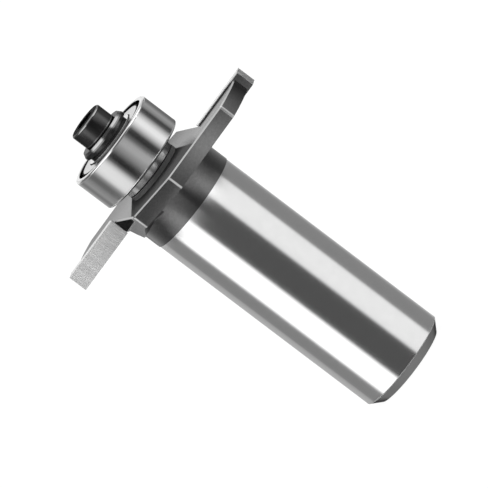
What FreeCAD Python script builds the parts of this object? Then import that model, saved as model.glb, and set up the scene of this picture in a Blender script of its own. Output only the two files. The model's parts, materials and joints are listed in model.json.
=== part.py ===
import FreeCAD, Part
import math
import os
import Sketcher

# Two-wing T-slot router bit with a shielded guide bearing on a pilot above the cutting wings.
# It stands on its shank end: the origin is the centre of that end face, +Z is the spindle axis
# and points to the bearing, and the two cutting points lie on the X axis. Millimetres.

document = FreeCAD.newDocument("RouterBit")
sheet = document.addObject("Spreadsheet::Sheet", "Sizes")

# Each driving size: the alias it has in the sheet, its value and what it is.
DRIVING_SIZES = [
    # Turned body, from the shank end upwards
    ("shank_diameter", 12.7, "half-inch shank"),
    ("shank_length", 31.75, "bright ground length, from the end face"),
    ("shank_chamfer", 1.15, "45 degree chamfer at the shank end"),
    ("collar_diameter", 12.84, "coated collar between shank and wings"),
    ("collar_length", 3.53, "coated collar, up to the wing plate"),
    ("boss_diameter", 7.7, "seat for the spacer"),
    ("boss_height", 0.55, "seat above the plate"),
    ("pilot_clearance", 0.03, "radial, in the spacer and the bearing bore"),
    ("pilot_short", 0.35, "pilot ends this far below the bearing's top"),
    ("pilot_chamfer", 0.2, "lead-in on the pilot"),
    # Wing plate, seen along the axis
    ("plate_thickness", 2.0, "steel of the wings"),
    ("heel_radius", 14.0, "end of the rim, behind the carbide"),
    ("heel_angle", 28.7, "angle of the heel behind the cutting point"),
    ("heel_blend", 0.5, "rounding of the heel"),
    ("rim_curve", 14.2, "radius of the relieved rim"),
    ("waist_far_radius", 10.24, "corner between the two flats"),
    ("waist_far_angle", 75.5, "angle of that corner behind the cutting point"),
    ("waist_near_radius", 8.92, "corner between flat and gullet"),
    ("waist_near_angle", 117.1, "angle of that corner behind the cutting point"),
    ("edge_chamfer", 0.16, "broken front edges and corners of the plate"),
    # Brazed carbide tips
    ("cutting_diameter", 31.75, "one and a quarter inch"),
    ("hook_angle", 16.2, "tilt of the carbide face from the radius"),
    ("carbide_length", 8.25, "along the face"),
    ("carbide_thickness", 1.3, "behind the face"),
    ("carbide_width", 2.38, "width of the slot that is cut"),
    ("end_relief_angle", 11.3, "outer end, from the tangent"),
    ("rim_setback", 0.8, "steel starts this far inside the carbide's outer end"),
    # Shielded guide bearing
    ("bearing_bore", 4.762, "three-sixteenths bore"),
    ("bearing_diameter", 12.7, "guide diameter, same as the shank"),
    ("bearing_width", 4.978, "both rings"),
    ("bearing_corner", 0.3, "rounded corners of the outer ring"),
    ("bore_chamfer", 0.2, "inner ring's bore"),
    ("ball_count", 7, "balls"),
    ("ball_diameter", 2.381, "three thirty-seconds balls"),
    ("ball_clearance", 0.03, "radial, between ball and raceway"),
    ("raceway_radius", 1.26, "section of the raceways"),
    ("groove_depth", 0.405, "raceway below the rings' shoulders"),
    ("seat_width", 0.42, "seat of the shield, outside the outer ring's shoulder"),
    ("recess_depth", 0.8, "from the ring's face to the shield's seat"),
    ("lip_chamfer", 0.12, "mouth of the counterbore"),
    ("snap_groove_depth", 0.21, "groove for the snap ring, in the counterbore's wall"),
    ("snap_ring_thickness", 0.28, "along the axis"),
    ("snap_ring_reach", 0.25, "how far the snap ring stands in from the counterbore's wall"),
    ("snap_ring_gap_angle", 16, "opening of the snap ring"),
    ("snap_clearance", 0.02, "play of the snap ring in its groove"),
    ("shield_thickness", 0.18, "pressed sheet"),
    ("shield_gap", 0.15, "radial, between the shield's hole and the inner ring"),
    ("shield_depth", 0.12, "raised face below the ring's face"),
    ("shield_rim_width", 0.45, "flat rim outside the raised face"),
    ("shield_clearance", 0.03, "radial, shield rim in its counterbore"),
    ("cage_land_gap", 0.4, "radial, between the ribbon and both rings' shoulders"),
    ("cage_thickness", 0.2, "ribbon"),
    ("cage_clearance", 0.06, "between ball and pocket"),
    # Spacer, retaining washer and clamp screw
    ("spacer_diameter", 7.7, "ring under the bearing"),
    ("spacer_height", 1.2, "ring under the bearing"),
    ("spacer_chamfer", 0.15, "outer edges of the spacer"),
    ("washer_diameter", 6.9, "retaining washer"),
    ("washer_thickness", 0.8, "its wide part"),
    ("washer_cone_height", 0.47, "cone at its front edge, along the axis"),
    ("washer_cone_run", 0.28, "cone at its front edge, across the axis"),
    ("washer_step_inset", 0.45, "pressing part, inside the inner ring's shoulder"),
    ("washer_step_height", 0.472, "part that presses on the inner ring"),
    ("washer_play", 0.12, "radial, round the screw"),
    ("screw_head_diameter", 4.85, "socket head"),
    ("screw_head_height", 2.33, "socket head"),
    ("screw_head_round", 0.3, "front edge of the head"),
    ("screw_length", 9.5, "under the head"),
    ("thread_diameter", 2.84, "outside of the thread"),
    ("thread_clearance", 0.04, "radial, in the tapped hole"),
    ("tap_extra_depth", 0.8, "tapped hole below the screw's end"),
    ("tap_cone_depth", 0.85, "drill point of the tapped hole"),
    ("hex_across_flats", 2.38, "socket"),
    ("hex_depth", 1.4, "socket"),
    ("hex_cone_depth", 0.4, "drill point of the socket"),
    ("screw_end_chamfer", 0.3, "end of the thread"),
]


def fill_sheet():
    """Writes the driving sizes into the sheet, one row each."""
    for row, (alias, value, meaning) in enumerate(DRIVING_SIZES, start=1):
        sheet.set("A%d" % row, meaning)
        sheet.set("B%d" % row, str(value))
        sheet.setAlias("B%d" % row, alias)
    document.recompute()


fill_sheet()


def size(alias):
    """A driving size as a plain number."""
    return float(getattr(sheet, alias))


# Stations along the axis, as expressions on the sheet
PLATE_BACK = "(Sizes.shank_length + Sizes.collar_length)"
PLATE_FRONT = "(%s + Sizes.plate_thickness)" % PLATE_BACK
BOSS_TOP = "(%s + Sizes.boss_height)" % PLATE_FRONT
BEARING_BOTTOM = "(%s + Sizes.spacer_height)" % BOSS_TOP
BEARING_TOP = "(%s + Sizes.bearing_width)" % BEARING_BOTTOM
BEARING_MIDDLE = "(%s + Sizes.bearing_width / 2)" % BEARING_BOTTOM
WASHER_TOP = "(%s + Sizes.washer_step_height + Sizes.washer_thickness)" % BEARING_TOP
PILOT_TOP = "(%s - Sizes.pilot_short)" % BEARING_TOP
PILOT_RADIUS = "(Sizes.bearing_bore / 2 - Sizes.pilot_clearance)"

# The bearing's rings, from the balls' circle midway between bore and rim outwards and inwards
PITCH_RADIUS = "((Sizes.bearing_bore + Sizes.bearing_diameter) / 4)"
BALL_RADIUS = "(Sizes.ball_diameter / 2)"
INNER_RACE = "(%s - %s - Sizes.ball_clearance)" % (PITCH_RADIUS, BALL_RADIUS)
OUTER_RACE = "(%s + %s + Sizes.ball_clearance)" % (PITCH_RADIUS, BALL_RADIUS)
INNER_LAND = "(%s + Sizes.groove_depth)" % INNER_RACE
OUTER_LAND = "(%s - Sizes.groove_depth)" % OUTER_RACE
RECESS = "(%s + Sizes.seat_width)" % OUTER_LAND
SNAP_GROOVE = "(%s + Sizes.snap_groove_depth)" % RECESS


def value(owner, expression):
    """What an expression on the sheet comes to now, as a plain number."""
    found = owner.evalExpression(expression)
    return float(getattr(found, "Value", found))


def new_body(name):
    """A body whose label names the piece."""
    body = document.addObject("PartDesign::Body", name)
    body.Label = name
    return body


def new_sketch(body, name, role, height=None):
    """A sketch on one of the body's own origin planes, raised by an expression if one is given."""
    plane = [feature for feature in body.Origin.OriginFeatures if feature.Role == role][0]
    sketch = body.newObject("Sketcher::SketchObject", name)
    sketch.AttachmentSupport = [(plane, "")]
    sketch.MapMode = "FlatFace"
    if height:
        sketch.setExpression(".AttachmentOffset.Base.z", height)
    return sketch


def pin(sketch, geometry, point, x, y):
    """Holds a point of a sketch at two expressions."""
    for kind, axis, expression in (("DistanceX", -2, x), ("DistanceY", -1, y)):
        if expression == "0":
            sketch.addConstraint(Sketcher.Constraint("PointOnObject", geometry, point, axis))
        else:
            number = value(sketch, expression)
            index = sketch.addConstraint(Sketcher.Constraint(kind, geometry, point, number))
            sketch.setExpression("Constraints[%d]" % index, expression)


def draw(sketch, corners):
    """A closed outline. A corner is (x, y), or (x, y, radius, side) where an arc leads to it.

    Side is 1 if the arc's centre is to the left of the way along the outline, and -1 if it is
    to the right.
    """
    places = [FreeCAD.Vector(value(sketch, c[0]), value(sketch, c[1]), 0) for c in corners]
    ends = []
    for index, corner in enumerate(corners):
        start, end = places[index - 1], places[index]
        if len(corner) == 2:
            geometry = sketch.addGeometry(Part.LineSegment(start, end), False)
            ends.append((geometry, 1, 2))
            continue
        radius, side = value(sketch, corner[2]), corner[3]
        chord = end - start
        rise = math.sqrt(max(radius ** 2 - (chord.Length / 2) ** 2, 0))
        left = FreeCAD.Vector(-chord.y, chord.x, 0).normalize()
        centre = (start + end) * 0.5 + left * (side * rise)
        first, last = (start, end) if side > 0 else (end, start)
        angles = [math.atan2(p.y - centre.y, p.x - centre.x) for p in (first, last)]
        circle = Part.Circle(centre, FreeCAD.Vector(0, 0, 1), radius)
        geometry = sketch.addGeometry(Part.ArcOfCircle(circle, angles[0], angles[1]), False)
        ends.append((geometry, 1, 2) if side > 0 else (geometry, 2, 1))
        held = sketch.addConstraint(Sketcher.Constraint("Radius", geometry, radius))
        sketch.setExpression("Constraints[%d]" % held, corner[2])
    for index, corner in enumerate(corners):
        geometry, _, end_point = ends[index]
        following, start_point, _ = ends[(index + 1) % len(ends)]
        joined = Sketcher.Constraint("Coincident", geometry, end_point, following, start_point)
        sketch.addConstraint(joined)
        pin(sketch, geometry, end_point, corner[0], corner[1])


def draw_circle(sketch, x, y, radius):
    """A circle whose centre and radius are expressions."""
    centre = FreeCAD.Vector(value(sketch, x), value(sketch, y), 0)
    number = value(sketch, radius)
    shape = Part.Circle(centre, FreeCAD.Vector(0, 0, 1), number)
    geometry = sketch.addGeometry(shape, False)
    pin(sketch, geometry, 3, x, y)
    held = sketch.addConstraint(Sketcher.Constraint("Radius", geometry, number))
    sketch.setExpression("Constraints[%d]" % held, radius)


def turn(body, name, corners, angle=None):
    """Turns a section about the spindle axis: the section's x is the radius and its y the height."""
    sketch = new_sketch(body, name + "Section", "XZ_Plane")
    draw(sketch, corners)
    feature = body.newObject("PartDesign::Revolution", name)
    feature.Profile = sketch
    feature.ReferenceAxis = (sketch, ["V_Axis"])
    feature.Angle = 360
    if angle:
        feature.setExpression("Angle", angle)
    return feature


def groove_circle(body, name, radius_place, height, radius):
    """Turns a round-bottomed groove: a circle swept about the spindle axis and cut away."""
    sketch = new_sketch(body, name + "Section", "XZ_Plane")
    draw_circle(sketch, radius_place, height, radius)
    feature = body.newObject("PartDesign::Groove", name)
    feature.Profile = sketch
    feature.ReferenceAxis = (sketch, ["V_Axis"])
    feature.Angle = 360
    return feature


def spindle_pattern(body, name, originals, count):
    """Repeats features round the spindle axis."""
    axis = [feature for feature in body.Origin.OriginFeatures if feature.Role == "Z_Axis"][0]
    pattern = body.newObject("PartDesign::PolarPattern", name)
    pattern.Originals = originals
    pattern.Axis = (axis, [""])
    pattern.Angle = 360
    pattern.setExpression("Occurrences", count)
    body.Tip = pattern
    return pattern


def stand_at(item, height, turn_about=None, degrees=0):
    """Places a piece on the axis at a height, turned about an axis if one is given."""
    if turn_about:
        item.Placement = FreeCAD.Placement(
            FreeCAD.Vector(0, 0, 0), FreeCAD.Rotation(FreeCAD.Vector(*turn_about), degrees)
        )
    item.setExpression(".Placement.Base.z", height)


def polar(radius, angle):
    """The x and y expressions of a point at a radius and an angle."""
    return ("(%s) * cos(%s)" % (radius, angle), "(%s) * sin(%s)" % (radius, angle))


# Corners of one wing in plan. The carbide's face runs from the cutting point back along the hook
# angle; its thickness and the relieved end lie behind that face.
TIP = ("Sizes.cutting_diameter / 2", "0")
ALONG = ("cos(Sizes.hook_angle)", "sin(Sizes.hook_angle)")


def wing_point(inward, behind):
    """A point so far in from the cutting point along the face, and so far behind the face."""
    x = "%s - (%s) * %s + (%s) * %s" % (TIP[0], inward, ALONG[0], behind, ALONG[1])
    y = "-(%s) * %s - (%s) * %s" % (inward, ALONG[1], behind, ALONG[0])
    return x, y


# The relieved end falls back from the tangent, so along the face it ends this far inward.
END_FALL = "Sizes.carbide_thickness * tan(Sizes.hook_angle + Sizes.end_relief_angle)"
FACE_INNER = wing_point("Sizes.carbide_length", "0")
BACK_INNER = wing_point("Sizes.carbide_length", "Sizes.carbide_thickness")
BACK_OUTER = wing_point(END_FALL, "Sizes.carbide_thickness")
RIM_START = wing_point("%s + Sizes.rim_setback" % END_FALL, "Sizes.carbide_thickness")
HEEL = polar("Sizes.heel_radius", "-Sizes.heel_angle")
WAIST_FAR = polar("Sizes.waist_far_radius", "-Sizes.waist_far_angle")
WAIST_NEAR = polar("Sizes.waist_near_radius", "-Sizes.waist_near_angle")
GULLET_TOP = polar("Sizes.waist_near_radius", "180 - Sizes.waist_near_angle")


def add_turned_body(body):
    """Shank, collar, boss and pilot in one section."""
    turn(body, "Turned", [
        ("0", "0"),
        ("Sizes.shank_diameter / 2 - Sizes.shank_chamfer", "0"),
        ("Sizes.shank_diameter / 2", "Sizes.shank_chamfer"),
        ("Sizes.shank_diameter / 2", "Sizes.shank_length"),
        ("Sizes.collar_diameter / 2", "Sizes.shank_length"),
        ("Sizes.collar_diameter / 2", PLATE_BACK),
        ("Sizes.boss_diameter / 2", PLATE_BACK),
        ("Sizes.boss_diameter / 2", BOSS_TOP),
        (PILOT_RADIUS, BOSS_TOP),
        (PILOT_RADIUS, "%s - Sizes.pilot_chamfer" % PILOT_TOP),
        ("%s - Sizes.pilot_chamfer" % PILOT_RADIUS, PILOT_TOP),
        ("0", PILOT_TOP),
    ])


def add_wings(body):
    """The flat plate with both wings, each with a pocket for its carbide and a gullet before it."""
    sketch = new_sketch(body, "WingOutline", "XY_Plane", PLATE_BACK)
    draw(sketch, [
        GULLET_TOP,
        WAIST_NEAR,
        WAIST_FAR,
        HEEL,
        RIM_START + ("Sizes.rim_curve", 1),
        BACK_INNER,
        FACE_INNER,
    ])
    wing = body.newObject("PartDesign::Pad", "Wing")
    wing.Profile = sketch
    wing.setExpression("Length", "Sizes.plate_thickness")
    return spindle_pattern(body, "BothWings", [wing], "2")


def segment_distance(point, start, end):
    """How far a point in plan lies from a straight line between two others."""
    run = end - start
    share = max(0, min(1, (point - start).dot(run) / run.dot(run)))
    return (point - (start + run * share)).Length


def in_plan(owner, corner):
    """A corner's place in plan, now."""
    return FreeCAD.Vector(value(owner, corner[0]), value(owner, corner[1]), 0)


def middle_of(edge):
    """The middle of an edge."""
    return edge.valueAt((edge.FirstParameter + edge.LastParameter) / 2)


def outline_edges(body, shape, height):
    """Names of the plate's edges at a height that lie on the outline, not in the pockets."""
    near = 0.05
    flats = [in_plan(body, c) for c in (WAIST_NEAR, WAIST_FAR, HEEL)]
    gullet = [in_plan(body, c) for c in (GULLET_TOP, FACE_INNER)]
    names = []
    for number, edge in enumerate(shape.Edges, start=1):
        centre = middle_of(edge)
        if edge.BoundBox.ZLength > near or abs(centre.z - height) > near:
            continue
        for sign in (1, -1):
            spot = FreeCAD.Vector(centre.x * sign, centre.y * sign, 0)
            on_flats = min(segment_distance(spot, flats[i], flats[i + 1]) for i in (0, 1)) < near
            on_gullet = segment_distance(spot, gullet[0], gullet[1]) < near
            on_corner = min((spot - c).Length for c in flats[:2]) < size("edge_chamfer")
            on_rim = edge.Curve.TypeId == "Part::GeomCircle" and spot.x > 0
            if on_flats or on_gullet or on_corner or on_rim:
                names.append("Edge%d" % number)
                break
    return names


def upright_edges(body, shape, corner):
    """Names of the plate's two upright edges at a corner of the outline."""
    near = 0.05
    place = in_plan(body, corner)
    names = []
    for number, edge in enumerate(shape.Edges, start=1):
        centre = middle_of(edge)
        if edge.BoundBox.ZLength < size("plate_thickness") - near:
            continue
        spots = [FreeCAD.Vector(centre.x * sign, centre.y * sign, 0) for sign in (1, -1)]
        if min((spot - place).Length for spot in spots) < near:
            names.append("Edge%d" % number)
    return names


def break_edges(body, plate):
    """Rounds the heels, and breaks the plate's front edges and corners with small chamfers."""
    document.recompute()
    heels = body.newObject("PartDesign::Fillet", "Heels")
    heels.Base = (plate, upright_edges(body, plate.Shape, HEEL))
    heels.setExpression("Radius", "Sizes.heel_blend")
    document.recompute()
    corners = body.newObject("PartDesign::Chamfer", "WaistCorners")
    uprights = []
    for corner in (WAIST_NEAR, WAIST_FAR):
        uprights += upright_edges(body, heels.Shape, corner)
    corners.Base = (heels, uprights)
    corners.setExpression("Size", "Sizes.edge_chamfer")
    document.recompute()
    rims = body.newObject("PartDesign::Chamfer", "PlateEdges")
    rims.Base = (corners, outline_edges(body, corners.Shape, value(body, PLATE_FRONT)))
    rims.setExpression("Size", "Sizes.edge_chamfer")
    document.recompute()


def add_tapped_hole(body):
    """The blind hole for the clamp screw, down through the pilot, with its drill point."""
    radius = "(Sizes.thread_diameter / 2 + Sizes.thread_clearance)"
    bottom = "(%s - Sizes.screw_length - Sizes.tap_extra_depth)" % WASHER_TOP
    sketch = new_sketch(body, "TappedHoleSection", "XZ_Plane")
    draw(sketch, [
        ("0", "%s - Sizes.tap_cone_depth" % bottom),
        (radius, bottom),
        (radius, BEARING_TOP),
        ("0", BEARING_TOP),
    ])
    hole = body.newObject("PartDesign::Groove", "TappedHole")
    hole.Profile = sketch
    hole.ReferenceAxis = (sketch, ["V_Axis"])
    hole.Angle = 360


def make_cutter_body():
    """Shank, hub, wings and pilot: one piece of steel."""
    body = new_body("cutter_body")
    plate = add_wings(body)
    break_edges(body, plate)
    add_turned_body(body)
    add_tapped_hole(body)
    return body


def make_carbide_tip(name, degrees):
    """One brazed carbide: a flat bar with a relieved outer end."""
    body = new_body(name)
    sketch = new_sketch(body, "Outline", "XY_Plane")
    draw(sketch, [FACE_INNER, BACK_INNER, BACK_OUTER, TIP])
    pad = body.newObject("PartDesign::Pad", "Bar")
    pad.Profile = sketch
    pad.setExpression("Length", "Sizes.carbide_width")
    height = "%s - (Sizes.carbide_width - Sizes.plate_thickness) / 2" % PLATE_BACK
    stand_at(body, height, (0, 0, 1), degrees)
    return body


def make_bearing_spacer():
    """The bright ring between boss and inner ring."""
    body = new_body("bearing_spacer")
    outer = "Sizes.spacer_diameter / 2"
    turn(body, "Ring", [
        ("Sizes.bearing_bore / 2", "0"),
        ("%s - Sizes.spacer_chamfer" % outer, "0"),
        (outer, "Sizes.spacer_chamfer"),
        (outer, "Sizes.spacer_height - Sizes.spacer_chamfer"),
        ("%s - Sizes.spacer_chamfer" % outer, "Sizes.spacer_height"),
        ("Sizes.bearing_bore / 2", "Sizes.spacer_height"),
    ])
    stand_at(body, BOSS_TOP)
    return body


def make_inner_ring():
    """Inner ring with its raceway."""
    body = new_body("inner_ring")
    bore, land, width = "Sizes.bearing_bore / 2", INNER_LAND, "Sizes.bearing_width"
    turn(body, "Ring", [
        ("%s + Sizes.bore_chamfer" % bore, "0"),
        (land, "0"),
        (land, width),
        ("%s + Sizes.bore_chamfer" % bore, width),
        (bore, "%s - Sizes.bore_chamfer" % width),
        (bore, "Sizes.bore_chamfer"),
    ])
    groove_circle(body, "Raceway", "%s + Sizes.raceway_radius" % INNER_RACE, "%s / 2" % width,
                  "Sizes.raceway_radius")
    stand_at(body, BEARING_BOTTOM)
    return body


def recess_side(bottom):
    """One face of the outer ring's section, from its outer corner to its land.

    The heights are counted from the bottom face if that is the side, and else from the top one.
    """
    rim_top = "(Sizes.recess_depth - Sizes.shield_thickness)"
    ring_top = "(%s - Sizes.snap_ring_thickness - Sizes.snap_clearance)" % rim_top
    depths = [
        ("Sizes.bearing_diameter / 2", "Sizes.bearing_corner"),
        ("Sizes.bearing_diameter / 2 - Sizes.bearing_corner", "0"),
        ("%s + Sizes.lip_chamfer" % RECESS, "0"),
        (RECESS, "Sizes.lip_chamfer"),
        (RECESS, ring_top),
        (SNAP_GROOVE, ring_top),
        (SNAP_GROOVE, rim_top),
        (RECESS, rim_top),
        (RECESS, "Sizes.recess_depth"),
        (OUTER_LAND, "Sizes.recess_depth"),
    ]
    if bottom:
        return depths
    return [(radius, "Sizes.bearing_width - (%s)" % depth) for radius, depth in depths]


def make_outer_ring():
    """Outer ring: raceway inside, a counterbore and snap ring groove at each face."""
    body = new_body("outer_ring")
    lower, upper = recess_side(True), recess_side(False)
    corners = lower + upper[::-1]
    # Both outer corners are rounded: the arc leads to the corner that comes second on the way.
    corners[1] = corners[1] + ("Sizes.bearing_corner", -1)
    corners[-1] = corners[-1] + ("Sizes.bearing_corner", -1)
    turn(body, "Ring", corners)
    groove_circle(body, "Raceway", "%s - Sizes.raceway_radius" % OUTER_RACE, "Sizes.bearing_width / 2",
                  "Sizes.raceway_radius")
    stand_at(body, BEARING_BOTTOM)
    return body


def make_shield(name, upper):
    """A pressed shield: its rim lies on the seat and its middle is raised to the ring's face."""
    body = new_body(name)
    rim = "(%s - Sizes.shield_clearance)" % RECESS
    shoulder, hole = "(%s - Sizes.shield_rim_width)" % rim, "(%s + Sizes.shield_gap)" % INNER_LAND
    thick, seat, raised = "Sizes.shield_thickness", "Sizes.recess_depth", "Sizes.shield_depth"
    # Depths are below the bearing's face; the shield is drawn face down.
    turn(body, "Pressing", [
        (hole, "%s + %s" % (raised, thick)),
        (hole, raised),
        (shoulder, raised),
        ("%s + %s" % (shoulder, thick), "%s - %s" % (seat, thick)),
        (rim, "%s - %s" % (seat, thick)),
        (rim, seat),
        (shoulder, seat),
        ("%s - %s" % (shoulder, thick), "%s + %s" % (raised, thick)),
    ])
    face_up(body, upper)
    return body


def face_up(body, upper):
    """Stands a piece of a bearing face, drawn face down, at the lower or the upper face."""
    if upper:
        stand_at(body, BEARING_TOP, (1, 0, 0), 180)
    else:
        stand_at(body, BEARING_BOTTOM)


def make_snap_ring(name, upper):
    """The open ring that holds a shield down."""
    body = new_body(name)
    inner = "(%s - Sizes.snap_ring_reach)" % RECESS
    outer = "(%s - Sizes.snap_clearance)" % SNAP_GROOVE
    foot = "Sizes.recess_depth - Sizes.shield_thickness"
    top = "%s - Sizes.snap_ring_thickness" % foot
    turn(body, "Ring", [(inner, top), (outer, top), (outer, foot), (inner, foot)],
         "360 - Sizes.snap_ring_gap_angle")
    face_up(body, upper)
    return body


def make_ball(number):
    """One ball, on the pitch circle at the bearing's middle plane."""
    ball = document.addObject("Part::Sphere", "ball_%d" % number)
    ball.Label = "ball_%d" % number
    ball.setExpression("Radius", BALL_RADIUS)
    x, y = polar(PITCH_RADIUS, "360 / Sizes.ball_count * %d" % (number - 1))
    ball.setExpression(".Placement.Base.x", x)
    ball.setExpression(".Placement.Base.y", y)
    ball.setExpression(".Placement.Base.z", BEARING_MIDDLE)
    return ball


def add_pocket_ball(body, kind, name, radius, top_angle_from):
    """A sphere on the pitch circle, added to or taken from a cage half."""
    sphere = body.newObject(kind, name)
    sphere.setExpression("Radius", radius)
    sphere.Angle1 = top_angle_from
    sphere.Angle2 = 90
    plane = [feature for feature in body.Origin.OriginFeatures if feature.Role == "XY_Plane"][0]
    sphere.AttachmentSupport = [(plane, "")]
    sphere.MapMode = "FlatFace"
    sphere.setExpression(".AttachmentOffset.Base.x", PITCH_RADIUS)
    document.recompute()
    return sphere


def make_cage_half(name, upper):
    """Half of the ribbon cage: a flat ring with a cup over every ball."""
    body = new_body(name)
    inner, outer = "(%s + Sizes.cage_land_gap)" % INNER_LAND, "(%s - Sizes.cage_land_gap)" % OUTER_LAND
    turn(body, "Ribbon", [
        (inner, "0"),
        (outer, "0"),
        (outer, "Sizes.cage_thickness"),
        (inner, "Sizes.cage_thickness"),
    ])
    inside = "%s + Sizes.cage_clearance" % BALL_RADIUS
    cup = add_pocket_ball(body, "PartDesign::AdditiveSphere", "Cup",
                          "%s + Sizes.cage_thickness" % inside, 0)
    spindle_pattern(body, "Cups", [cup], "Sizes.ball_count")
    document.recompute()
    hollow = add_pocket_ball(body, "PartDesign::SubtractiveSphere", "Hollow", inside, -90)
    spindle_pattern(body, "Hollows", [hollow], "Sizes.ball_count")
    document.recompute()
    # The cups are trimmed to the ribbon's width.
    reach = "%s + Sizes.ball_diameter" % PITCH_RADIUS
    rise = "Sizes.ball_diameter"
    for part, low, high in (("Outside", outer, reach), ("Inside", "0", inner)):
        sketch = new_sketch(body, "Trim%sSection" % part, "XZ_Plane")
        draw(sketch, [(low, "-(%s)" % rise), (high, "-(%s)" % rise), (high, rise), (low, rise)])
        trim = body.newObject("PartDesign::Groove", "Trim" + part)
        trim.Profile = sketch
        trim.ReferenceAxis = (sketch, ["V_Axis"])
        trim.Angle = 360
    if upper:
        stand_at(body, BEARING_MIDDLE)
    else:
        stand_at(body, BEARING_MIDDLE, (1, 0, 0), 180)
    return body


def make_retaining_washer():
    """Stepped washer: the small step presses on the inner ring only."""
    body = new_body("retaining_washer")
    hole = "Sizes.thread_diameter / 2 + Sizes.washer_play"
    step, outer = "(%s - Sizes.washer_step_inset)" % INNER_LAND, "Sizes.washer_diameter / 2"
    top = "(Sizes.washer_step_height + Sizes.washer_thickness)"
    turn(body, "Washer", [
        (hole, "0"),
        (step, "0"),
        (step, "Sizes.washer_step_height"),
        (outer, "Sizes.washer_step_height"),
        (outer, "%s - Sizes.washer_cone_height" % top),
        ("%s - Sizes.washer_cone_run" % outer, top),
        (hole, top),
    ])
    stand_at(body, BEARING_TOP)
    return body


def make_clamp_screw():
    """Socket head cap screw. Heights are counted from the underside of its head."""
    body = new_body("clamp_screw")
    head, thread = "Sizes.screw_head_diameter / 2", "Sizes.thread_diameter / 2"
    length, height = "Sizes.screw_length", "Sizes.screw_head_height"
    turn(body, "Screw", [
        ("0", "-%s" % length),
        ("%s - Sizes.screw_end_chamfer" % thread, "-%s" % length),
        (thread, "Sizes.screw_end_chamfer - %s" % length),
        (thread, "0"),
        (head, "0"),
        (head, "%s - Sizes.screw_head_round" % height),
        ("%s - Sizes.screw_head_round" % head, height, "Sizes.screw_head_round", 1),
        ("0", height),
    ])
    sketch = new_sketch(body, "HexOutline", "XY_Plane", height)
    corner_radius = "Sizes.hex_across_flats / 2 / cos(30)"
    draw(sketch, [polar(corner_radius, str(60 * k)) for k in range(6)])
    socket = body.newObject("PartDesign::Pocket", "HexSocket")
    socket.Profile = sketch
    socket.setExpression("Length", "Sizes.hex_depth")
    floor = "(%s - Sizes.hex_depth)" % height
    sketch = new_sketch(body, "DrillPointSection", "XZ_Plane")
    draw(sketch, [
        ("0", "%s - Sizes.hex_cone_depth" % floor),
        ("Sizes.hex_across_flats / 2", floor),
        ("0", floor),
    ])
    point = body.newObject("PartDesign::Groove", "DrillPoint")
    point.Profile = sketch
    point.ReferenceAxis = (sketch, ["V_Axis"])
    point.Angle = 360
    stand_at(body, WASHER_TOP)
    return body


def make_pieces():
    """Every piece of the bit, from the shank to the screw."""
    pieces = [
        make_cutter_body(),
        make_carbide_tip("carbide_tip_1", 0),
        make_carbide_tip("carbide_tip_2", 180),
        make_bearing_spacer(),
        make_inner_ring(),
        make_outer_ring(),
    ]
    for side in ("lower", "upper"):
        upper = side == "upper"
        pieces.append(make_cage_half("cage_" + side, upper))
        pieces.append(make_shield("shield_" + side, upper))
        pieces.append(make_snap_ring("snap_ring_" + side, upper))
    for number in range(1, int(size("ball_count")) + 1):
        pieces.append(make_ball(number))
    pieces.append(make_retaining_washer())
    pieces.append(make_clamp_screw())
    return pieces


def check_document():
    """Stops if any object of the document failed to build."""
    for item in document.Objects:
        if "Invalid" in item.State or "Error" in item.State:
            raise RuntimeError("%s did not build: %s" % (item.Name, item.State))


def export(pieces):
    """Writes each piece to its own file after testing its solid."""
    os.makedirs("parts", exist_ok=True)
    for piece in pieces:
        shape = piece.Shape
        if shape.isNull() or not shape.isValid() or len(shape.Solids) != 1:
            raise RuntimeError("%s is not one valid solid" % piece.Label)
        shape.exportStep("parts/%s.step" % piece.Label)
        box = shape.BoundBox
        print("%-18s volume %9.3f  z %7.3f to %7.3f  width %6.3f x %6.3f" % (
            piece.Label, shape.Volume, box.ZMin, box.ZMax, box.XLength, box.YLength))


pieces = make_pieces()
document.recompute()
check_document()
export(pieces)
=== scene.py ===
"""Looks of a slotting router bit: materials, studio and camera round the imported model."""

import json
import math

import bpy
from mathutils import Matrix, Vector


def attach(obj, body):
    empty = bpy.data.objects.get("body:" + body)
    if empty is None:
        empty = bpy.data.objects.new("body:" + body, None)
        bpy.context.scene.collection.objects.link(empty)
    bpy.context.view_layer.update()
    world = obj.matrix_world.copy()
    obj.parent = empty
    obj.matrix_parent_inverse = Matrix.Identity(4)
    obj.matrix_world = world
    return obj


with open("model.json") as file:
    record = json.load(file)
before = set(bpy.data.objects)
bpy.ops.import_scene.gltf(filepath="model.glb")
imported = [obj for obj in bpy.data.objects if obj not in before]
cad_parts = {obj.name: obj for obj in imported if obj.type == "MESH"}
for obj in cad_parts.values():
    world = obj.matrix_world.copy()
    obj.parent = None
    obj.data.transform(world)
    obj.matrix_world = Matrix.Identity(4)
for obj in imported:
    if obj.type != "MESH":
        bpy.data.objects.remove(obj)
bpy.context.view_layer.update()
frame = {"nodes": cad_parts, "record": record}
scene = bpy.context.scene

MM = 0.001

# The camera: the row frame seen from the screw's side, with the picture rolled
VIEW_AZIMUTH = 11.3
VIEW_ELEVATION = 8.6
VIEW_ROLL = 52.9
VIEW_DISTANCE = 2.0
VIEW_WIDTH = 56.45 * MM
AIM_HEIGHT = 24.05 * MM
AIM_ASIDE = -0.255 * MM
FILM_WIDTH = 36

# Stations along the spindle axis, in millimetres
END_CHAMFER = 1.15
GROUND_TOP = 31.75
PLATE_BACK = 35.28
PLATE_FRONT = 37.28
CONE_FOOT = 44.93
HEAD_FOOT = 45.28
# Distances from the spindle axis, in millimetres
COLLAR_RADIUS = 6.42
OUTSIDE_COLLAR = 6.5
OUTSIDE_BOSS = 4.2
SHIELD_SHOULDER = (4.88, 4.98)
RECESS_WALL = (5.29, 5.67)
# Room that keeps a zone's border on, or off, the face that it is named after
ON_FACE = 0.01
OFF_FACE = 0.002
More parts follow.
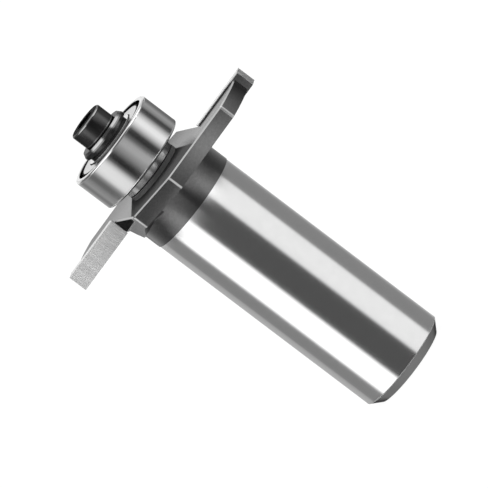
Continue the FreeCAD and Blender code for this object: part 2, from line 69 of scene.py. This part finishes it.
# How upright a face's normal stands: from 0 on a wall to 1 on a level face
LEVEL = 0.95
CHAMFER_TILT = (0.5, 0.9)
EDGE_TILT = (0.3, 0.95)
CONE_TILT = (0.3, 0.9)

# Corners of the plate that are broken over its whole thickness, lighter there from wear and painted glints:
# radius, angle and reach of the break
BROKEN_CORNERS = [(8.92, -117.1, 0.3), (10.24, -75.5, 0.18), (14.0, -28.7, 0.27)]
# The carbide's face: its angle from the radius
HOOK = math.radians(16.2)
# The gullet wall in plan: its distance from the axis, and the azimuth that it faces
WALL_DISTANCE = 6.617
WALL_ANGLE = math.radians(20.8)
# Lower edge of the root under the gullet wall: place along the wall, and height
ROOT_EDGE = [
    (-2.9, 35.28), (-1.9, 34.55), (-0.6, 33.83), (0.7, 34.1), (2.0, 34.38), (3.9, 35.0), (5.2, 35.28),
]
# The dull, dark zone of painted shade round the hub: where it fades out on both sides, the far one along
# its own direction
HUB_SHADE_NEAR = (-4.5, -4.2)
HUB_SHADE_FAR = (3.7, 3.45)
HUB_SHADE_FAR_DIRECTION = (0.93, 0.37)
# The painted dark reflection on the gullet walls: height of its lower edge at the wall's middle, its slope,
# its outer end
REFLECTION_FOOT = 36.004
REFLECTION_SLOPE = 0.148
REFLECTION_END = 4.3


def direction(azimuth, elevation):
    """The unit vector from the object towards an azimuth round Z and an elevation, in degrees."""
    a, e = math.radians(azimuth), math.radians(elevation)
    return Vector((math.sin(a) * math.cos(e), -math.cos(a) * math.cos(e), math.sin(e)))


def add_camera():
    """A long lens, rolled so that the spindle axis runs from the upper left to the lower right."""
    back = direction(VIEW_AZIMUTH, VIEW_ELEVATION)
    across = Vector((0, 0, 1)).cross(back).normalized()
    upright = back.cross(across)
    roll = math.radians(VIEW_ROLL)
    right = across * math.cos(roll) - upright * math.sin(roll)
    up = across * math.sin(roll) + upright * math.cos(roll)
    aim = Vector((0, 0, AIM_HEIGHT)) + across * AIM_ASIDE
    data = bpy.data.cameras.new("camera")
    data.sensor_width = FILM_WIDTH
    data.lens = data.sensor_width * VIEW_DISTANCE / VIEW_WIDTH
    data.clip_start, data.clip_end = 0.05, 50
    camera = bpy.data.objects.new("camera", data)
    scene.collection.objects.link(camera)
    turned = Matrix((right, up, back)).transposed().to_4x4()
    camera.matrix_world = Matrix.Translation(aim + back * VIEW_DISTANCE) @ turned
    scene.camera = camera


def grey(level):
    """A grey colour from a number; a socket or a colour stays as it is."""
    return (level, level, level, 1) if isinstance(level, (int, float)) else level


class Tree:
    """Short calls for building a node tree. A zone is 1 inside and 0 outside."""

    def __init__(self, tree):
        self.tree = tree
        tree.nodes.clear()

    def node(self, kind, **settings):
        made = self.tree.nodes.new(kind)
        for name, setting in settings.items():
            setattr(made, name, setting)
        return made

    def put(self, socket, source):
        """Links a socket to another, or sets its value."""
        if isinstance(source, bpy.types.NodeSocket):
            self.tree.links.new(source, socket)
        elif source is not None:
            socket.default_value = source

    def fill(self, made, *sources):
        """Gives a node's first inputs their sources, and returns its first output."""
        for socket, source in zip(made.inputs, sources):
            self.put(socket, source)
        return made.outputs[0]

    def finish(self, source, kind="ShaderNodeOutputMaterial"):
        """Links the last shader to the output."""
        self.put(self.node(kind).inputs[0], source)

    def math(self, operation, a, b=None, c=None):
        return self.fill(self.node("ShaderNodeMath", operation=operation), a, b, c)

    def over(self, value, limit):
        """The zone where a value is above a limit."""
        return self.math("GREATER_THAN", value, limit)

    def under(self, value, limit):
        """The zone where a value is below a limit."""
        return self.math("LESS_THAN", value, limit)

    def both(self, a, b):
        """The zone that two others share."""
        return self.math("MULTIPLY", a, b)

    def either(self, a, b):
        """The zone that two others cover together."""
        return self.math("MAXIMUM", a, b)

    def within(self, value, low, high):
        """The zone where a value lies between two limits."""
        return self.both(self.over(value, low), self.under(value, high))

    def length(self, x, y):
        """The length of a vector in plan."""
        return self.math("SQRT", self.math("ADD", self.math("MULTIPLY", x, x), self.math("MULTIPLY", y, y)))

    def towards(self, x, y, x_share, y_share):
        """How far a vector reaches in a direction in plan."""
        return self.math("ADD", self.math("MULTIPLY", x, x_share), self.math("MULTIPLY", y, y_share))

    def spread(self, x, low, high):
        """Maps low..high to 0..1, smoothly and clamped."""
        made = self.node("ShaderNodeMapRange", interpolation_type="SMOOTHSTEP")
        return self.fill(made, x, low, high, 0.0, 1.0)

    def mix(self, share, a, b):
        """A colour between two others."""
        made = self.node("ShaderNodeMix", data_type="RGBA")
        self.put(made.inputs[0], share)
        self.put(made.inputs[6], grey(a))
        self.put(made.inputs[7], grey(b))
        return made.outputs[2]

    def between(self, share, a, b):
        """A number between two others."""
        made = self.node("ShaderNodeMix", data_type="FLOAT")
        for socket, source in zip(made.inputs[:1] + made.inputs[2:4], (share, a, b)):
            self.put(socket, source)
        return made.outputs[0]

    def ramp(self, x, stops):
        """A grey ramp through (place, level) pairs."""
        made = self.node("ShaderNodeValToRGB")
        elements = made.color_ramp.elements
        while len(elements) < len(stops):
            elements.new(0.5)
        for element, (place, level) in zip(elements, stops):
            element.position = place
            element.color = grey(level)
        return self.fill(made, x)

    def noise(self, vector, scale, detail, roughness):
        made = self.node("ShaderNodeTexNoise")
        settings = {"Vector": vector, "Scale": scale, "Detail": detail, "Roughness": roughness}
        for name, source in settings.items():
            self.put(made.inputs[name], source)
        return made.outputs["Fac"]

    def combine(self, x, y, z):
        return self.fill(self.node("ShaderNodeCombineXYZ"), x, y, z)

    def parts(self, vector):
        """The x, y and z of a vector."""
        made = self.node("ShaderNodeSeparateXYZ")
        self.fill(made, vector)
        return tuple(made.outputs)

    def here(self):
        """The object coordinates."""
        return self.node("ShaderNodeTexCoord").outputs["Object"]

    def normal(self):
        """The x, y and z of the face's own normal, and how upright it stands."""
        x, y, z = self.parts(self.node("ShaderNodeNewGeometry").outputs["True Normal"])
        return x, y, self.math("ABSOLUTE", z)


def new_material(name):
    """A material and its empty tree."""
    material = bpy.data.materials.new(name)
    material.use_nodes = True
    return material, Tree(material.node_tree)


def glowing(name):
    """A material that only gives light: itself, its tree and the socket of its colour."""
    material, tree = new_material(name)
    glow = tree.node("ShaderNodeEmission")
    tree.finish(glow.outputs[0])
    return material, tree, glow.inputs["Color"]


def share_of_turn(azimuth):
    """The place of an azimuth on a ramp that runs from -180 to 180 degrees."""
    return (azimuth + 180) / 360


def turn_of(tree, vector):
    """The same place for a vector, with azimuths counted from the camera's side, and its height."""
    turned = tree.node("ShaderNodeVectorRotate", rotation_type="Z_AXIS")
    tree.put(turned.inputs["Vector"], vector)
    turned.inputs["Angle"].default_value = -math.radians(VIEW_AZIMUTH)
    x, y, z = tree.parts(turned.outputs[0])
    azimuth = tree.math("DEGREES", tree.math("ARCTAN2", x, tree.math("MULTIPLY", y, -1.0)))
    return tree.math("DIVIDE", tree.math("ADD", azimuth, 180.0), 360.0), z


def bands(tree, turn, levels, edge):
    """Light round the object in even bands: levels lists (first azimuth, level), from -180 degrees."""
    half_edge = edge / 2 / 360
    stops = [(0.0, levels[0][1])]
    for (_, before), (start, level) in zip(levels, levels[1:]):
        stops += [(share_of_turn(start) - half_edge, before), (share_of_turn(start) + half_edge, level)]
    stops.append((1.0, levels[0][1]))
    return tree.ramp(turn, stops)


# Soft boxes to the left and right of the camera, dark in front and grey behind
LOW_RING = [(-180, 0.57), (-130, 0.33), (-87, 1.9), (-34, 0.12), (32, 1.3), (89, 0.34), (150, 0.5)]
MIDDLE_RING = [(-180, 1.0), (-150, 0.3), (150, 1.0)]
HIGH_RING = [(-180, 0.8), (-150, 0.12), (-97, 1.9), (-20, 0.12), (57, 1.9), (118, 0.8)]
# What the collar sees: azimuth and level
COLLAR_CARD = [
    (-150, 0.35), (-135, 0.9), (-123, 0.85), (-108, 0.55), (-93, 0.24), (-80, 0.13), (-70, 0.22),
    (-62, 0.75), (-50, 1.7), (-40, 2.0), (-30, 1.4), (-22, 0.8), (-14, 0.55), (-4, 0.45), (0, 0.14),
    (9, 0.12), (15, 0.3), (23, 0.75), (32, 1.6), (40, 2.0), (50, 1.4), (62, 0.5), (72, 0.18), (82, 0.12),
    (95, 0.24), (113, 0.42), (130, 0.5),
]
# What the plate's flats see
PLATE_CARD = [
    (-104, 0.4), (-100, 1.2), (-84, 1.2), (-78, 0.3), (-56, 0.16), (-37, 0.16), (-32, 0.1), (-26, 0.5),
    (-19, 0.95), (-14, 1.0), (-4, 1.35), (-1, 0.55), (3, 0.25), (9, 0.3), (14, 0.9), (17, 1.25),
    (20.5, 2.4), (23, 1.9), (26, 1.3), (29, 0.85), (34, 0.45), (38, 0.33), (48, 0.6), (68, 0.95),
    (80, 0.6), (87, 0.33), (93, 0.2), (100, 0.06), (106, 0.04), (113, 0.04), (118, 0.04),
]
# What the bearing's rim sees, from higher up
UPPER_CARD = [
    (-154, 0.5), (-126, 0.22), (-112, 0.38), (-99, 0.3), (-89, 0.17), (-81, 0.18), (-73.5, 0.36),
    (-65, 0.95), (-57, 1.05), (-44, 1.02), (-38, 0.8), (-30, 0.15), (-24, 0.02), (-17, 0.04), (-5, 0.3),
    (8, 0.52), (17, 0.48), (25, 0.17), (33, 0.03), (41, 0.06), (54, 0.85), (62, 1.15), (70, 1.1),
    (80, 0.62), (89, 0.12), (98, 0.06), (107, 0.32), (119, 0.42), (136, 0.18),
]
# What the screw head sees
HEAD_CARD = [
    (-153, 1.0), (-149, 0.8), (-118, 0.35), (-93, 0.45), (-71, 0.3), (-63, 0.6), (-51, 1.5), (-34, 0.95),
    (-16, 0.4), (0, 0.14), (16, 0.115), (34, 0.36), (51, 1.08), (65, 1.8), (74, 1.9), (84, 1.2), (93, 0.7),
    (118, 0.7), (149, 0.8), (153, 1.0),
]
# The sines of the elevations between which one ring of the studio fades into the next
TO_MIDDLE = (-0.02, 0.06)
TO_HIGH = (0.25, 0.45)
TO_CEILING = (0.82, 0.93)
TO_GROUND = (-0.5, -0.85)
CEILING_LEVEL = 1.0
GROUND_LEVEL = 0.3
# The cards: distance from the axis, then name, lower and upper edge, and levels
CARD_DISTANCE = 30
CARDS = [
    ("collar_card", 28.0, 31.45, COLLAR_CARD),
    ("plate_card", 31.45, 35.0, PLATE_CARD),
    ("bearing_card", 35.0, 41.2, UPPER_CARD),
    ("head_card", 41.2, 43.7, HEAD_CARD),
]


def add_world():
    """A plain white background that also lights the object from above."""
    world = bpy.data.worlds.new("studio")
    world.use_nodes = True
    scene.world = world
    tree = Tree(world.node_tree)
    plain = tree.node("ShaderNodeBackground")
    plain.inputs["Color"].default_value = grey(1.0)
    tree.finish(plain.outputs[0], "ShaderNodeOutputWorld")


def new_mesh(name, corners, faces):
    """A mesh object from its corners and faces."""
    mesh = bpy.data.meshes.new(name)
    mesh.from_pydata(corners, [], faces)
    made = bpy.data.objects.new(name, mesh)
    scene.collection.objects.link(made)
    return made


def add_studio_wall():
    """Soft boxes and dark screens all round, open to the white background above."""
    radius, around, rows = 4.0, 72, 30
    bottom, top = math.radians(-90), math.radians(68)
    corners = [(0, 0, -radius)]
    for row in range(1, rows + 1):
        e = bottom + (top - bottom) * row / rows
        for k in range(around):
            a = math.tau * k / around
            corners.append((radius * math.cos(e) * math.cos(a), radius * math.cos(e) * math.sin(a),
                            radius * math.sin(e)))
    faces = [(0, 1 + (k + 1) % around, 1 + k) for k in range(around)]
    for row in range(rows - 1):
        for k in range(around):
            first, second = 1 + row * around + k, 1 + row * around + (k + 1) % around
            faces.append((first, second, second + around, first + around))
    wall = new_mesh("studio_wall", corners, faces)
    material, tree, colour = glowing("studio_wall_light")
    unit = tree.fill(tree.node("ShaderNodeVectorMath", operation="NORMALIZE"), tree.here())
    turn, height = turn_of(tree, unit)
    side = tree.mix(tree.spread(height, *TO_MIDDLE), bands(tree, turn, LOW_RING, 5),
                    bands(tree, turn, MIDDLE_RING, 10))
    side = tree.mix(tree.spread(height, *TO_HIGH), side, bands(tree, turn, HIGH_RING, 10))
    side = tree.mix(tree.spread(height, *TO_CEILING), side, CEILING_LEVEL)
    tree.put(colour, tree.mix(tree.spread(height, *TO_GROUND), side, GROUND_LEVEL))
    wall.data.materials.append(material)
    wall.visible_camera = False


def add_floor():
    """A wide pale floor, white behind the object, with the object's soft shadow on it."""
    half_width, paint_grey, glow_strength, glow_share = 6.0, 0.85, 1.1, 0.85
    corners = [(x * half_width, y * half_width, 0) for x, y in ((-1, -1), (1, -1), (1, 1), (-1, 1))]
    floor = new_mesh("floor", corners, [(0, 1, 2, 3)])
    material, tree = new_material("pale_floor")
    paint = tree.node("ShaderNodeBsdfDiffuse")
    paint.inputs["Color"].default_value = grey(paint_grey)
    glow = tree.node("ShaderNodeEmission")
    glow.inputs["Color"].default_value = grey(1.0)
    glow.inputs["Strength"].default_value = glow_strength
    path = tree.node("ShaderNodeLightPath").outputs
    seen = tree.either(path["Is Camera Ray"], path["Is Glossy Ray"])
    seen = tree.either(seen, path["Is Transmission Ray"])
    mixed = tree.fill(tree.node("ShaderNodeMixShader"), tree.math("MULTIPLY", seen, glow_share),
                      paint.outputs[0], glow.outputs[0])
    tree.finish(mixed)
    floor.data.materials.append(material)
    # Polished metal mirrors the studio wall below the object, not the floor's plane.
    floor.visible_glossy = False


def add_reflection_card(name, low, high, levels):
    """A narrow ring of cards round the bit that only the faces at one height mirror."""
    radius, steps = CARD_DISTANCE * MM, 180
    corners, faces = [], []
    for k in range(steps):
        a = math.tau * k / steps
        corners += [(radius * math.cos(a), radius * math.sin(a), z * MM) for z in (low, high)]
        following = (k + 1) % steps
        faces.append((2 * k, 2 * following, 2 * following + 1, 2 * k + 1))
    card = new_mesh(name, corners, faces)
    material, tree, colour = glowing(name + "_light")
    turn, _ = turn_of(tree, tree.here())
    tree.put(colour, tree.ramp(turn, [(share_of_turn(a), level) for a, level in levels]))
    card.data.materials.append(material)
    card.visible_camera = False
    card.visible_diffuse = False
    card.visible_shadow = False


def metal(name):
    """A material with one metallic shader, its tree and that shader's inputs."""
    material, tree = new_material(name)
    shader = tree.node("ShaderNodeBsdfPrincipled")
    shader.inputs["Metallic"].default_value = 1.0
    tree.finish(shader.outputs[0])
    return material, tree, shader.inputs


def place(tree):
    """The object coordinates in millimetres: the vector and its x, y and z."""
    scaled = tree.node("ShaderNodeVectorMath", operation="SCALE")
    scaled.inputs["Scale"].default_value = 1 / MM
    vector = tree.fill(scaled, tree.here())
    return vector, *tree.parts(vector)


def bump(tree, inputs, height, strength, depth=0.01):
    """Gives a shader a fine relief, its depth in millimetres."""
    made = tree.node("ShaderNodeBump")
    made.inputs["Strength"].default_value = strength
    made.inputs["Distance"].default_value = depth * MM
    tree.put(made.inputs["Height"], height)
    tree.put(inputs["Normal"], made.outputs[0])


def wall_marks(tree, x, y, z):
    """Fine rings along a turned wall, a little uneven round each ring."""
    unevenness = 0.12
    rings = tree.combine(tree.math("MULTIPLY", x, unevenness), tree.math("MULTIPLY", y, unevenness), z)
    return tree.noise(rings, 9.0, 3.0, 0.6)


def turning_marks(tree, x, y, z):
    """The marks on walls alone, and those on walls and level faces together."""
    on_walls = wall_marks(tree, x, y, z)
    on_faces = tree.noise(tree.combine(tree.length(x, y), 0.0, 0.0), 9.0, 3.0, 0.6)
    return on_walls, tree.math("MULTIPLY", tree.math("ADD", on_walls, on_faces), 0.5)


def near_corner(tree, x, y, corner):
    """The zone next to a corner of the plate and next to its twin across the axis."""
    radius, angle, reach = corner
    a = math.radians(angle)
    found = []
    for sign in (1, -1):
        dx = tree.math("SUBTRACT", x, sign * radius * math.cos(a))
        dy = tree.math("SUBTRACT", y, sign * radius * math.sin(a))
        found.append(tree.spread(tree.length(dx, dy), reach, reach / 2))
    return tree.either(*found)


def hub_shade_zone(tree, x, y):
    """The zone round the hub where the plate's front is made dull and dark as painted shade; the wings
    beyond are ground.
    """
    far = tree.towards(x, y, *HUB_SHADE_FAR_DIRECTION)
    return tree.both(tree.spread(x, *HUB_SHADE_NEAR), tree.spread(far, *HUB_SHADE_FAR))


def painted_reflection_zone(tree, x, y, z, normal):
    """The zone on the gullet walls painted dark as a reflection, from the carbide outwards."""
    cosine, sine = math.cos(WALL_ANGLE), math.sin(WALL_ANGLE)
    facing = tree.towards(normal[0], normal[1], cosine, sine)
    along = tree.both(tree.towards(x, y, -sine, cosine), tree.math("SIGN", facing))
    wall = tree.over(tree.math("ABSOLUTE", facing), 0.98)
    lower_edge = tree.math("MULTIPLY_ADD", along, REFLECTION_SLOPE, REFLECTION_FOOT)
    return tree.both(wall, tree.both(tree.over(z, lower_edge), tree.under(along, REFLECTION_END)))


def cutter_material():
    """Bright ground shank; satin dark coating above it, worn bright with painted glints on the broken
    edges; painted shade round the hub, on the boss and on the end chamfer, and a painted dark reflection on
    the gullet walls.
    """
    material, tree, inputs = metal("ground_and_coated_steel")
    vector, x, y, z = place(tree)
    normal = tree.normal()
    tilt, reach = normal[2], tree.length(x, y)
    marks = wall_marks(tree, x, y, z)
    cloud = tree.noise(vector, 0.7, 4.0, 0.6)
    grain = tree.noise(vector, 3.5, 3.0, 0.7)

    coated = tree.over(z, GROUND_TOP + 2 * OFF_FACE)
    plate = tree.either(tree.over(z, PLATE_BACK + OFF_FACE), tree.over(reach, OUTSIDE_COLLAR))
    on_plate = tree.both(tree.over(z, PLATE_BACK - ON_FACE), tree.over(reach, OUTSIDE_BOSS))
    front = tree.both(tree.over(tilt, LEVEL), tree.over(z, PLATE_FRONT - ON_FACE))
    boss = tree.over(z, PLATE_FRONT + OFF_FACE)
    # Round the hub and on the boss the plate is made dull and dark: painted shade.
    dull_shade = tree.either(tree.both(hub_shade_zone(tree, x, y), front), boss)
    # A painted dark reflection on the gullet walls next to the carbide.
    dark_reflection = tree.both(painted_reflection_zone(tree, x, y, z, normal), on_plate)
    broken = tree.within(tilt, *CHAMFER_TILT)
    for corner in BROKEN_CORNERS:
        broken = tree.either(broken, near_corner(tree, x, y, corner))
    # Broken edges and plate corners are lighter: partly worn coating, partly painted glints.
    worn_and_glinting = tree.both(broken, on_plate)
    chamfer = tree.under(z, END_CHAMFER - 0.05)
    burr = tree.math("SUBTRACT", tree.under(z, END_CHAMFER + 0.06), chamfer)

    # Greys for the worn edges with painted glints, for the boss within the painted shade, and for the
    # painted dark reflection.
    worn_glint_grey, boss_grey, reflection_grey = 0.53, 0.28, 0.03
    colour = tree.mix(coated, tree.mix(cloud, 0.60, 0.66), tree.mix(grain, 0.09, 0.16))
    colour = tree.mix(boss, tree.mix(worn_and_glinting, colour, worn_glint_grey), boss_grey)
    tree.put(inputs["Base Color"], tree.mix(dark_reflection, colour, reflection_grey))
    # The low tints darken the reflections of the shank's end chamfer, the hub zone and the gullet walls:
    # painted shade.
    chamfer_shade_tint, shade_tint = 0.1, 0.12
    tint = tree.mix(tree.either(dull_shade, dark_reflection), tree.mix(chamfer, 1.0, chamfer_shade_tint), shade_tint)
    tree.put(inputs["Specular Tint"], tint)
    inputs["Specular IOR Level"].default_value = 0.0
    # The painted shade zone round the hub loses most of its metal sheen.
    tree.put(inputs["Metallic"], tree.between(dull_shade, 1.0, 0.2))
    matt_rough, burr_rough = 0.45, 0.8
    satin = tree.between(plate, tree.between(cloud, 0.2, 0.25), tree.between(cloud, 0.17, 0.22))
    satin = tree.between(dull_shade, satin, matt_rough)
    rough = tree.between(coated, tree.between(marks, 0.13, 0.2), satin)
    tree.put(inputs["Roughness"], tree.between(burr, rough, burr_rough))
    bump(tree, inputs, marks, 0.05)
    return material


def carbide_material():
    """Ground carbide: pale grey with fine lines across the face and bright honed edges."""
    material, tree, inputs = metal("ground_carbide")
    _, x, y, z = place(tree)
    normal = tree.normal()
    cosine, sine = math.cos(HOOK), math.sin(HOOK)
    slant, stretch = 0.06, 0.02
    across = tree.math("ADD", tree.towards(x, y, cosine, sine), tree.math("MULTIPLY", z, slant))
    lines = tree.noise(tree.combine(across, 0.0, tree.math("MULTIPLY", z, stretch)), 3.6, 4.0, 0.75)
    lines = tree.spread(lines, 0.36, 0.64)
    honed = tree.over(normal[2], 0.9)
    # The coating still covers the back of each tip, which stands proud of its pocket.
    behind = tree.both(tree.towards(normal[0], normal[1], sine, -cosine), tree.math("SIGN", x))
    covered = tree.both(tree.over(behind, 0.7), tree.under(z, PLATE_FRONT + 0.08))
    honed_grey, coating_grey = 0.96, 0.1
    ground = tree.mix(honed, tree.mix(lines, 0.76, 0.98), honed_grey)
    tree.put(inputs["Base Color"], tree.mix(covered, ground, coating_grey))
    tree.put(inputs["Roughness"], tree.between(lines, 0.22, 0.28))
    inputs["Metallic"].default_value = 0.7
    bump(tree, inputs, lines, 0.26, 0.02)
    return material


def turned_material(name, colour, roughness):
    """Bright turned or ground steel with fine rings; the wall of the bearing's recess is painted dark as
    shade.
    """
    material, tree, inputs = metal(name)
    _, x, y, z = place(tree)
    _, marks = turning_marks(tree, x, y, z)
    # The recess wall is darkened, and its reflection too: painted shade.
    wall = tree.within(tree.length(x, y), *RECESS_WALL)
    recess_shade_grey, wall_tint = 0.1, 0.2
    plain = tree.mix(marks, colour - 0.03, colour + 0.03)
    tree.put(inputs["Base Color"], tree.mix(wall, plain, recess_shade_grey))
    tree.put(inputs["Specular Tint"], tree.mix(wall, 1.0, wall_tint))
    tree.put(inputs["Roughness"], tree.between(marks, roughness * 0.8, roughness * 1.2))
    return material


def washer_material():
    """Darkened steel; the top of its cone is lighter, partly wear and partly a painted highlight."""
    material, tree, inputs = metal("darkened_steel")
    _, x, y, z = place(tree)
    wall_streaks, marks = turning_marks(tree, x, y, z)
    cone = tree.within(tree.normal()[2], *CONE_TILT)
    # The cone's upper band is lighter: partly wear, partly painted highlight.
    highlit_cone_band = tree.both(cone, tree.spread(z, CONE_FOOT, CONE_FOOT + 0.12))
    cone_grey = 0.14
    dark = tree.mix(cone, tree.mix(marks, 0.06, 0.1), cone_grey)
    tree.put(inputs["Base Color"], tree.mix(highlit_cone_band, dark, tree.mix(wall_streaks, 0.22, 0.45)))
    tree.put(inputs["Roughness"], tree.between(marks, 0.13, 0.19))
    inputs["Specular Tint"].default_value = grey(0.4)
    bump(tree, inputs, marks, 0.04)
    return material


def sheet_material(name, colour, roughness):
    """Pressed sheet with an even grain, painted dark outside the shield's shoulder as shade."""
    material, tree, inputs = metal(name)
    vector, x, y, _ = place(tree)
    grain = tree.noise(vector, 6.0, 4.0, 0.7)
    # Outside the shield's shoulder the sheet and its reflection are darkened: painted shade.
    shoulder_shade = tree.spread(tree.length(x, y), *SHIELD_SHOULDER)
    shoulder_shade_grey, shoulder_shade_tint = 0.1, 0.1
    plain = tree.mix(grain, colour * 0.9, colour * 1.1)
    tree.put(inputs["Base Color"], tree.mix(shoulder_shade, plain, shoulder_shade_grey))
    tree.put(inputs["Specular Tint"], tree.mix(shoulder_shade, 1.0, shoulder_shade_tint))
    tree.put(inputs["Roughness"], tree.between(grain, roughness * 0.85, roughness * 1.2))
    bump(tree, inputs, grain, 0.06)
    return material


def oxide_material():
    """Black oxide with a film of oil; its edges are lighter, partly wear and partly painted highlight, with
    a painted highlight line above the head's foot and painted shade on its level faces.
    """
    material, tree, inputs = metal("oiled_black_oxide")
    vector, _, _, z = place(tree)
    grain = tree.noise(vector, 5.0, 5.0, 0.7)
    tilt = tree.normal()[2]
    # A painted highlight line above the head's foot.
    foot_highlight = tree.math("MULTIPLY", tree.within(z, HEAD_FOOT + 0.13, HEAD_FOOT + 0.24), 0.6)
    # The head's edges are lighter: partly wear, partly painted highlight.
    worn_and_glinting = tree.either(tree.within(tilt, *EDGE_TILT), foot_highlight)
    worn_glint_grey, wall_tint, face_shade_tint = 0.3, 0.4, 0.03
    tree.put(inputs["Base Color"], tree.mix(worn_and_glinting, tree.mix(grain, 0.05, 0.075), worn_glint_grey))
    # The low tint on level faces darkens their reflection: painted shade.
    tree.put(inputs["Specular Tint"], tree.mix(tree.over(tilt, LEVEL), wall_tint, face_shade_tint))
    tree.put(inputs["Roughness"], tree.between(grain, 0.14, 0.2))
    bump(tree, inputs, grain, 0.08)
    return material


def add_gullet_roots(steel):
    """The metal left under each gullet wall, in line with the wall and run out into the collar."""
    steps, sunk, lift, slope = 6, 0.15, 0.01, 0.25
    for number, turned in enumerate((0, math.pi), start=1):
        a = WALL_ANGLE + turned
        out, along = Vector((math.cos(a), math.sin(a), 0)), Vector((-math.sin(a), math.cos(a), 0))
        edge = []
        for (w0, z0), (w1, z1) in zip(ROOT_EDGE, ROOT_EDGE[1:]):
            edge += [(w0 + (w1 - w0) * k / steps, z0 + (z1 - z0) * k / steps) for k in range(steps)]
        edge.append(ROOT_EDGE[-1])
        points = []
        for w, z in edge:
            inner = math.sqrt(COLLAR_RADIUS ** 2 - w * w) - sunk
            foot = z - slope * (WALL_DISTANCE - inner)
            top = PLATE_BACK + lift
            for distance, height in ((WALL_DISTANCE, top), (WALL_DISTANCE, z), (inner, foot), (inner, top)):
                spot = (out * distance + along * w) * MM
                points.append((spot.x, spot.y, height * MM))
        faces = [(0, 1, 2, 3), tuple(len(points) - 4 + k for k in (3, 2, 1, 0))]
        for k in range(len(edge) - 1):
            for side in range(4):
                following = (side + 1) % 4
                faces.append((4 * k + side, 4 * k + 4 + side, 4 * k + 4 + following, 4 * k + following))
        root = new_mesh("gullet_root_%d" % number, points, faces)
        root.data.materials.append(steel)
        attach(root, "bit_body")


def dress():
    """Gives every node the material of its finish."""
    finishes = {
        "coated_and_ground_steel": cutter_material(),
        "carbide": carbide_material(),
        "turned_steel": turned_material("turned_steel_bright", 0.42, 0.18),
        "bearing_steel": turned_material("polished_bearing_steel", 0.7, 0.11),
        "pressed_steel": sheet_material("pressed_sheet", 0.6, 0.24),
        "spring_steel": sheet_material("spring_wire", 0.09, 0.3),
        "dark_steel": washer_material(),
        "black_oxide": oxide_material(),
    }
    slots = {part["node"]: part["material_slot"] for part in frame["record"]["subparts"]}
    for name, node in frame["nodes"].items():
        node.data.materials.clear()
        node.data.materials.append(finishes[slots[name]])
    add_gullet_roots(finishes["coated_and_ground_steel"])


add_camera()
add_world()
add_studio_wall()
add_floor()
for card in CARDS:
    add_reflection_card(*card)
dress()

scene.view_settings.view_transform = "Standard"
